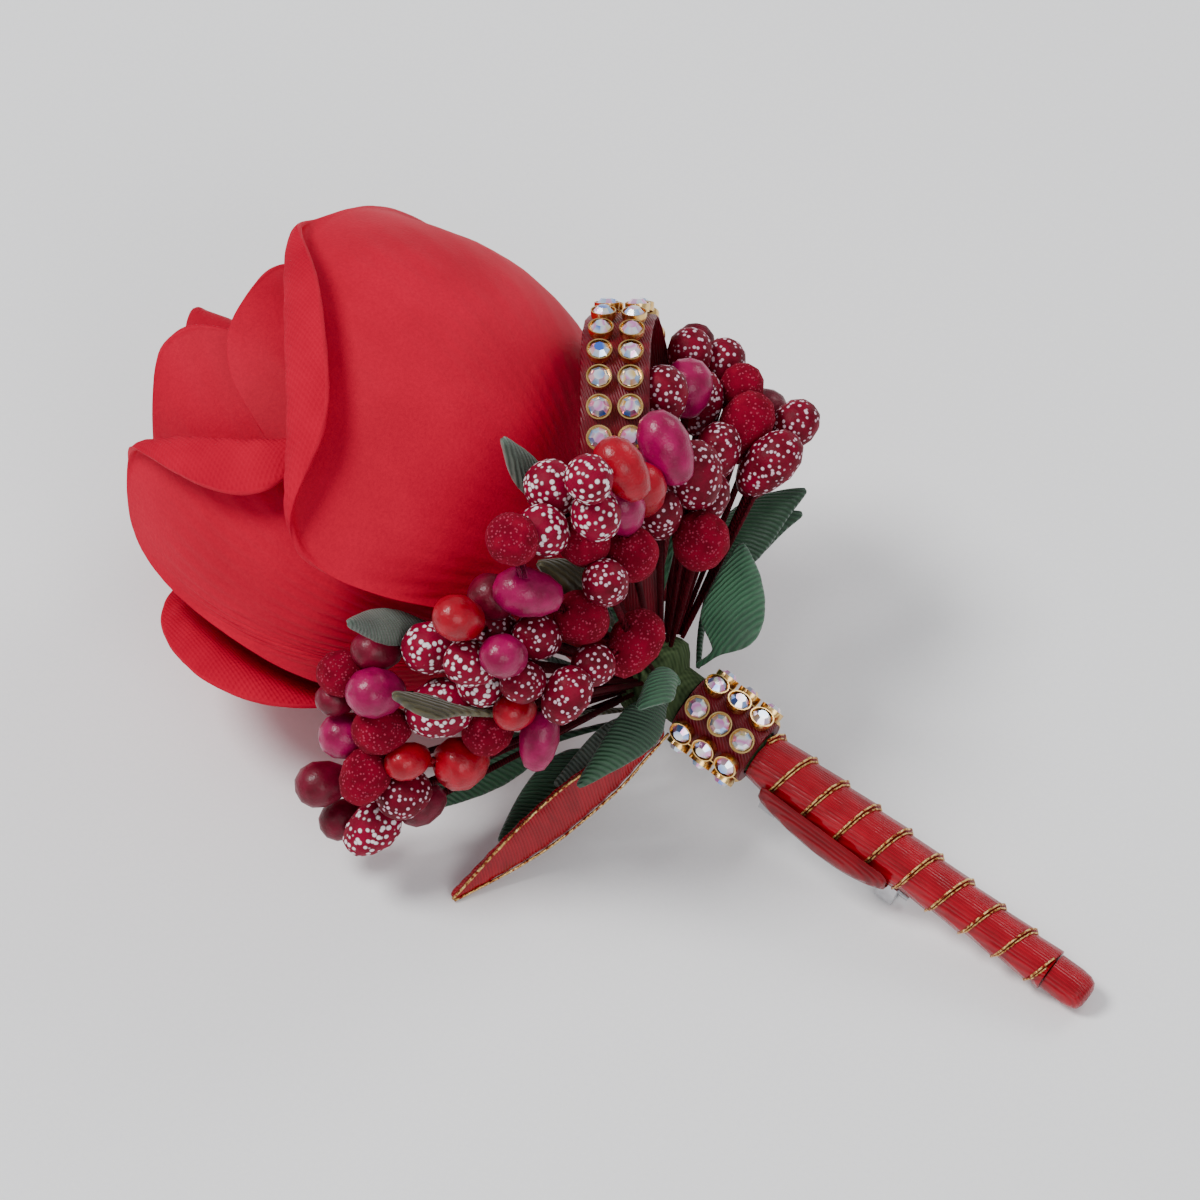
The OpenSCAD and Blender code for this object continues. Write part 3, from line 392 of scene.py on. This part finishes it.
# corners nearer than this are joined, in metres
JOIN_CLOTH = 0.00001
JOIN_EXACT = 0.000002
JOIN_SHEET = 1e-6
CLOTH_LEVELS = 2


def dress(name, *mats):
    o = NODES[name]
    o.data.materials.clear()
    for m in mats:
        o.data.materials.append(m)
    return o


def smooth_shading(mesh):
    for p in mesh.polygons:
        p.use_smooth = True


def join_corners(o, distance):
    w = o.modifiers.new("join", "WELD")
    w.merge_threshold = distance


def soften(o):
    """Rounds the cloth of a sheet: joined corners, then a smooth surface."""
    smooth_shading(o.data)
    join_corners(o, JOIN_CLOTH)
    s = o.modifiers.new("smooth", "SUBSURF")
    s.levels = CLOTH_LEVELS
    s.render_levels = CLOTH_LEVELS


def smooth_exact(o, angle):
    """Smooth shading that keeps the true edges of a turned or cut solid."""
    smooth_shading(o.data)
    join_corners(o, JOIN_EXACT)
    e = o.modifiers.new("edges", "EDGE_SPLIT")
    e.split_angle = rad(angle)


# petals have velvet outside and woven lining inside, and a face ends where the sheet turns more sharply
RIM_TURN = rad(62)
NO_NORMAL_TURN = 3.0
ROSE_POINT = to_row((-48, 0, 0))
STEM_WAY = (to_row((1, 0, 0)) - to_row((0, 0, 0))).normalized()
RIM_PLACE = -0.002


def broad_faces(o):
    """The two broad faces of a closed sheet: each one's polygon numbers, and middles, normals and areas."""
    bm = bmesh.new()
    bm.from_mesh(o.data)
    order = bm.faces.layers.int.new("order")
    for i, f in enumerate(bm.faces):
        f[order] = i
    bmesh.ops.remove_doubles(bm, verts=bm.verts, dist=JOIN_SHEET)
    reached = set()
    sets = []
    for first in bm.faces:
        if first.index in reached:
            continue
        group, todo = [], [first]
        reached.add(first.index)
        while todo:
            g = todo.pop()
            group.append(g)
            for e in g.edges:
                if len(e.link_faces) != 2:
                    continue
                h = e.link_faces[0] if e.link_faces[1] is g else e.link_faces[1]
                if h.index not in reached and g.normal.angle(h.normal, NO_NORMAL_TURN) < RIM_TURN:
                    reached.add(h.index)
                    todo.append(h)
        sets.append(group)
    sets.sort(key=lambda s: -sum(q.calc_area() for q in s))
    result = []
    for s in sets[:2]:
        rows = [(q.calc_center_median(), q.normal.copy(), q.calc_area()) for q in s]
        result.append(([q[order] for q in s], rows))
    bm.free()
    return result


def outward(p):
    """The direction from the stem's line to a point."""
    d = p - ROSE_POINT
    return (d - STEM_WAY * d.dot(STEM_WAY)).normalized()


def facing_out(rows):
    """How much a broad face looks outward, without the rolled rim at the top of the rose."""
    return sum(n.dot(outward(c)) * a for c, n, a in rows if (c - ROSE_POINT).dot(STEM_WAY) > RIM_PLACE)


def dress_petal(name, outer):
    o = dress(name, outer, LINING)
    one, two = broad_faces(o)
    lining = one if facing_out(one[1]) < facing_out(two[1]) else two
    for i in lining[0]:
        o.data.polygons[i].material_index = 1
    soften(o)


for name in OUTER_PETALS:
    dress_petal(name, RED)
for name in PETALS_IN_SHADE:
    dress_petal(name, RED_PAINTED_SHADE)
for name, cloth in SOFT_CLOTH.items():
    soften(dress(name, cloth))
for name, (stuff, angle) in EXACT_SOLIDS.items():
    smooth_exact(dress(name, stuff), angle)
dress("collar_stones", STONE)
dress("loop_stones", STONE)

# stamen heads in mm: right, up, out, width, length, and the kind of pip
HEADS = {
    "stamens_upper": [
        (-3.9, 41.5, -1.5, 4.3, 5.5, "s"), (-3.25, 42.5, -7, 3.8, 5, "p"),
        (-0.1, 40.5, -4.3, 4.2, 5.5, "s"), (1.75, 37.5, -0.5, 4.2, 5.5, "f"),
        (-4.25, 37.5, 6, 4.8, 6, "m"), (-2.75, 36, 1.25, 4.3, 7, "s"),
        (2, 33.25, 3, 5.2, 8, "f"), (4.5, 35, -3.25, 4.2, 5, "c"),
        (7.5, 33.5, 0.25, 4.3, 6, "s"), (4.75, 29.25, 5.5, 4.8, 8, "s"),
        (3.5, 28.25, -0.25, 3.8, 5, "c"), (-1, 30.5, 7, 4.3, 6, "s")],
    "stamens_right": [
        (-7, 36.5, 11.5, 4.8, 6, "s"), (-6.75, 30.5, 20.75, 4.8, 8, "m"),
        (-3.75, 27.75, 15, 5.8, 7, "s"), (-2.25, 25.5, 9.5, 4.3, 5.5, "s"),
        (-7.5, 23.5, 16.75, 4.3, 5.5, "s"), (-3, 20.5, 13.25, 5.6, 6, "f"),
        (-9.25, 26, 21.75, 4.3, 6, "r")],
    "stamens_middle": [
        (-11.5, 28, 30, 4.4, 7, "r"), (-11.5, 23.75, 25.25, 4.2, 6, "m"),
        (-15, 26.75, 34.25, 4.4, 5, "w"), (-19, 26, 27, 5, 6, "w"),
        (-14.25, 23, 30, 4.6, 5.5, "w"), (-19.75, 21.5, 29, 4.6, 6, "w"),
        (-15.5, 20.5, 24.75, 5, 5.4, "f"), (-10.5, 19, 21.25, 5.2, 5.6, "f")],
    "stamens_front": [
        (-23, 20.5, 33.75, 4.8, 5.5, "f"), (-21.5, 15, 27.75, 4.6, 7, "m"),
        (-13.25, 16, 24.75, 4.3, 5.5, "s"), (-15.75, 12.25, 21, 5.2, 6.2, "f"),
        (-10.25, 9.5, 16.25, 5, 7.5, "f"), (-14.5, 7.25, 19.5, 4, 5, "s"),
        (-28.75, 12.25, 28.75, 4.2, 6, "r"), (-25.25, 14.5, 24.25, 4.2, 5.5, "c"),
        (-25.25, 10.75, 20, 4.6, 6, "s"), (-20.5, 10.25, 22.5, 4.3, 5.5, "s")],
    "stamens_left": [
        (-32, 9, 19.5, 5, 6, "w"), (-27.5, 7.5, 25, 4.4, 6.5, "w"),
        (-26.5, 5.25, 19.75, 4.4, 5, "w"), (-31.25, 2.5, 17, 5.8, 7, "w"),
        (-23, 2.25, 19.5, 3.4, 4.8, "r"), (-17.5, 4, 22.5, 4.4, 6, "s"),
        (-22, 5.5, 23.5, 4, 5, "s"), (-20.5, -1, 16, 3.6, 6.2, "m"),
        (-24, 8.25, 27.75, 4, 5.5, "m")],
    "stamens_far_left": [
        (-26, 0, 15, 4.6, 5.2, "f"), (-29, -3.5, 12, 5.2, 5.6, "r"),
        (-41.5, 6.25, 15.5, 4.4, 5.5, "f"), (-38, 4.25, 18.75, 4.8, 6, "m"),
        (-38, 8.75, 17.5, 3.8, 5, "c"), (-42.5, 3.5, 13.5, 3, 4, "c"),
        (-41.5, -0.5, 10.75, 4.4, 5.6, "m"), (-37.5, 0.25, 15.25, 4.8, 6, "f"),
        (-44.5, -6, 5, 4.4, 5.4, "c"), (-39.5, -5, 12.25, 4.8, 6, "f"),
        (-34.75, -3.25, 14, 3.4, 4.6, "r"), (-35.25, -7, 10, 4.6, 5.6, "s"),
        (-42.25, -10, 1.5, 3.8, 5, "c"), (-39, -11, 5.5, 4.6, 6.5, "w"),
        (-33.5, -8.25, 5.75, 3.8, 5, "c")],
}
# a head reaches this share of its longer side from its middle, and swells within the second share of that
HEAD_REACH = 0.56
HEAD_FULL = 0.9
HEAD_SWELL = 0.00042


def dress_heads(name, heads):
    """Gives each head of a spray its own pip material, and swells the heads but not the threads."""
    o = dress(name, THREAD, *PIPS.values())
    smooth_shading(o.data)
    places = [(to_row(seen(h)), max(h[3], h[4]) * HEAD_REACH * MM, KINDS.index(h[5]) + 1) for h in heads]
    in_head = {}
    for p in o.data.polygons:
        share, kind = min(((p.center - q).length / r, k) for q, r, k in places)
        if share < 1:
            p.material_index = kind
            for i in p.vertices:
                in_head[i] = min((o.data.vertices[i].co - q).length / r for q, r, k in places)
    full = o.vertex_groups.new(name="heads")
    full.add([i for i, share in in_head.items() if share < HEAD_FULL], 1.0, "REPLACE")
    join_corners(o, JOIN_EXACT)
    d = o.modifiers.new("swell", "DISPLACE")
    d.vertex_group = "heads"
    d.mid_level = 0.0
    d.strength = HEAD_SWELL


for name, heads in HEADS.items():
    dress_heads(name, heads)

# gold edges of the ribbon
TUBE_SIDES = 6


def tube(name, lines, radius, mat):
    """Thin round threads along lines of points in the design frame, mm."""
    verts, faces = [], []
    for line in lines:
        n = len(line)
        base = len(verts)
        for i in range(n):
            way = (line[min(n - 1, i + 1)] - line[max(0, i - 1)]).normalized()
            a = way.orthogonal().normalized() if i == 0 else (a - way * a.dot(way)).normalized()
            b = way.cross(a)
            for k in range(TUBE_SIDES):
                g = 2 * math.pi * k / TUBE_SIDES
                verts.append(to_row(line[i] + (a * math.cos(g) + b * math.sin(g)) * radius))
        for i in range(n - 1):
            low = base + i * TUBE_SIDES
            high = low + TUBE_SIDES
            for k in range(TUBE_SIDES):
                k2 = (k + 1) % TUBE_SIDES
                faces.append((low + k, low + k2, high + k2, high + k))
        faces.append(tuple(base + k for k in reversed(range(TUBE_SIDES))))
        faces.append(tuple(base + (n - 1) * TUBE_SIDES + k for k in range(TUBE_SIDES)))
    me = bpy.data.meshes.new(name)
    me.from_pydata([tuple(v) for v in verts], [], faces)
    me.materials.append(mat)
    smooth_shading(me)
    o = bpy.data.objects.new(name, me)
    bpy.context.scene.collection.objects.link(o)
    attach(o, "root")


# the wound ribbon as the solids have it: stem rows are place and narrowing, both as shares
STEM_ROWS = [(0.1, 0.02), (0.28, -0.08), (0.44, 0.0), (0.56, 0.3), (0.68, 0.65), (0.84, 0.85),
             (0.92, 1.0), (1, 1.05)]
WRAP_PITCH = 4.4
WRAP_STEP = 0.4
WRAP_CORNERS = 12
GAP = 0.15
FREE_END = 4
WRAP_START = COLLAR_HALF + 2 * GAP
WRAP_TURNS = int((STEM_LENGTH - FREE_END - WRAP_START) // WRAP_PITCH) + 2
LAST_CORNER = WRAP_CORNERS * (WRAP_TURNS - 1)
CORNER_POINTS = 4
STEM_THREAD = 0.13


def stem_radius(a):
    """The stem's radius at a place a mm along it, between two rows."""
    f = a / STEM_LENGTH
    i = max(j for j in range(len(STEM_ROWS) - 1) if STEM_ROWS[j][0] <= f)
    (x0, y0), (x1, y1) = STEM_ROWS[i], STEM_ROWS[i + 1]
    k = y0 + (y1 - y0) * (f - x0) / (x1 - x0)
    return (STEM_TOP + (STEM_END - STEM_TOP) * k) / 2


def corner_way(i):
    """The direction out of the stem at corner i of the wound ribbon."""
    g = rad(360 / WRAP_CORNERS * i)
    return Vector((0, math.sin(g), math.cos(g)))


def helix(offset, proud, last):
    """A line that winds with the ribbon's edge to its corner last, offset along the stem and proud of it."""
    line = []
    for j in range(WRAP_CORNERS * CORNER_POINTS, last * CORNER_POINTS + 1):
        i = j / CORNER_POINTS
        a = WRAP_START + GAP + WRAP_PITCH * (i / WRAP_CORNERS - 1) + offset
        low = math.floor(i)
        way = corner_way(low).lerp(corner_way(math.ceil(i)), i - low)
        line.append(Vector((a, 0, 0)) + way * (stem_radius(a) + proud))
    return line


on_the_step = helix(offset=-0.12, proud=WRAP_STEP / 2 + 0.06, last=LAST_CORNER)
under_the_step = helix(offset=0.2, proud=-WRAP_STEP / 2 + 0.12, last=LAST_CORNER - 1)
tube("stem_gold_edge", [on_the_step, under_the_step], STEM_THREAD, LUREX)

# the loose end in mm and degrees: right, up, out, width, lean
TAIL = [(-7.2, 0.6, 3.2, 3.4, 40), (-10, -2, 3.6, 4.8, 48), (-13, -4.8, 2.8, 5.6, 42),
        (-16.6, -7.8, 1.6, 5.8, 36), (-20.6, -11.2, 0.8, 5.6, 38), (-24.6, -14.4, 0.1, 4.6, 46),
        (-28, -17, -0.6, 2.6, 50), (-30.4, -18.8, -0.9, 0.9, 50)]
TAIL_POINTS = 4
TAIL_INSET = 0.25
TAIL_PROUD = 0.5
TAIL_THREAD = 0.16


def tail_edges():
    """The two long edges of the loose end, on its upper face."""
    us = [i / TAIL_POINTS for i in range(TAIL_POINTS * (len(TAIL) - 1) + 1)]
    mids = [seen([read(TAIL, u, c) for c in range(3)]) for u in us]
    left, right = [], []
    for i, u in enumerate(us):
        way = (mids[min(len(us) - 1, i + 1)] - mids[max(0, i - 1)]).normalized()
        side = way.cross(S_OUT).normalized()
        out = side.cross(way)
        g = rad(read(TAIL, u, 4))
        across = side * math.cos(g) + out * math.sin(g)
        face = out * math.cos(g) - side * math.sin(g)
        half = read(TAIL, u, 3) / 2 - TAIL_INSET
        left.append(mids[i] - across * half + face * TAIL_PROUD)
        right.append(mids[i] + across * half + face * TAIL_PROUD)
    return [left, right]


tube("tail_gold_edge", tail_edges(), TAIL_THREAD, LUREX)

# floor
FLOOR_HALF = 1.2
corners = [(-FLOOR_HALF, -FLOOR_HALF, 0), (FLOOR_HALF, -FLOOR_HALF, 0), (FLOOR_HALF, FLOOR_HALF, 0),
           (-FLOOR_HALF, FLOOR_HALF, 0)]
floor_mesh = bpy.data.meshes.new("floor")
floor_mesh.from_pydata(corners, [], [(0, 1, 2, 3)])
floor = bpy.data.objects.new("floor", floor_mesh)
bpy.context.scene.collection.objects.link(floor)
paper, tree, shader = new_material("floor_paper")
grain = noise(tree, coords(tree), 1800, 2)
shade = ramp(tree, grain, [(0.2, (0.90, 0.90, 0.90)), (0.8, (0.93, 0.93, 0.93))])
tree.links.new(shade, shader.inputs["Base Color"])
shader.inputs["Roughness"].default_value = 0.9
shader.inputs["Specular IOR Level"].default_value = 0.1
floor_mesh.materials.append(paper)

# light
WORLD_COLOUR = (0.93, 0.95, 1.0, 1)
WORLD_STRENGTH = 0.5
world = bpy.data.worlds.new("studio")
bpy.context.scene.world = world
world.use_nodes = True
world.node_tree.nodes["Background"].inputs[0].default_value = WORLD_COLOUR
world.node_tree.nodes["Background"].inputs[1].default_value = WORLD_STRENGTH
LIGHT_TARGET = to_row((-14, 0, 0))


def disk_light(name, place, size, power):
    d = bpy.data.lights.new(name, "AREA")
    d.shape = "DISK"
    d.size = size
    d.energy = power
    o = bpy.data.objects.new(name, d)
    o.location = place
    o.rotation_euler = (LIGHT_TARGET - Vector(place)).to_track_quat("-Z", "Y").to_euler()
    bpy.context.scene.collection.objects.link(o)


disk_light("key_light", place=(-0.35, -0.25, 0.75), size=0.3, power=6.0)
disk_light("fill_light", place=(0.6, -0.35, 0.5), size=0.5, power=2.4)
disk_light("back_light", place=(0.15, 0.7, 0.55), size=0.4, power=2.2)

# camera: its place from the collar in mm, and its lens
CAMERA_LEFT = 13.89
CAMERA_UP = 14.22
CAMERA_AWAY = 600
cam_data = bpy.data.cameras.new("camera")
cam_data.sensor_width = 36
cam_data.sensor_fit = "HORIZONTAL"
cam_data.lens = 162
cam_data.clip_start = 0.05
cam_data.clip_end = 10
cam = bpy.data.objects.new("camera", cam_data)
stand = Matrix((ROW_RIGHT, ROW_UP, ROW_OUT)).transposed().to_4x4()
stand.translation = (COLLAR - CAMERA_LEFT * ROW_RIGHT + CAMERA_UP * ROW_UP + CAMERA_AWAY * ROW_OUT) * MM
cam.matrix_world = stand
bpy.context.scene.collection.objects.link(cam)
bpy.context.scene.camera = cam

# bring the scene's placements up to date
bpy.context.view_layer.update()
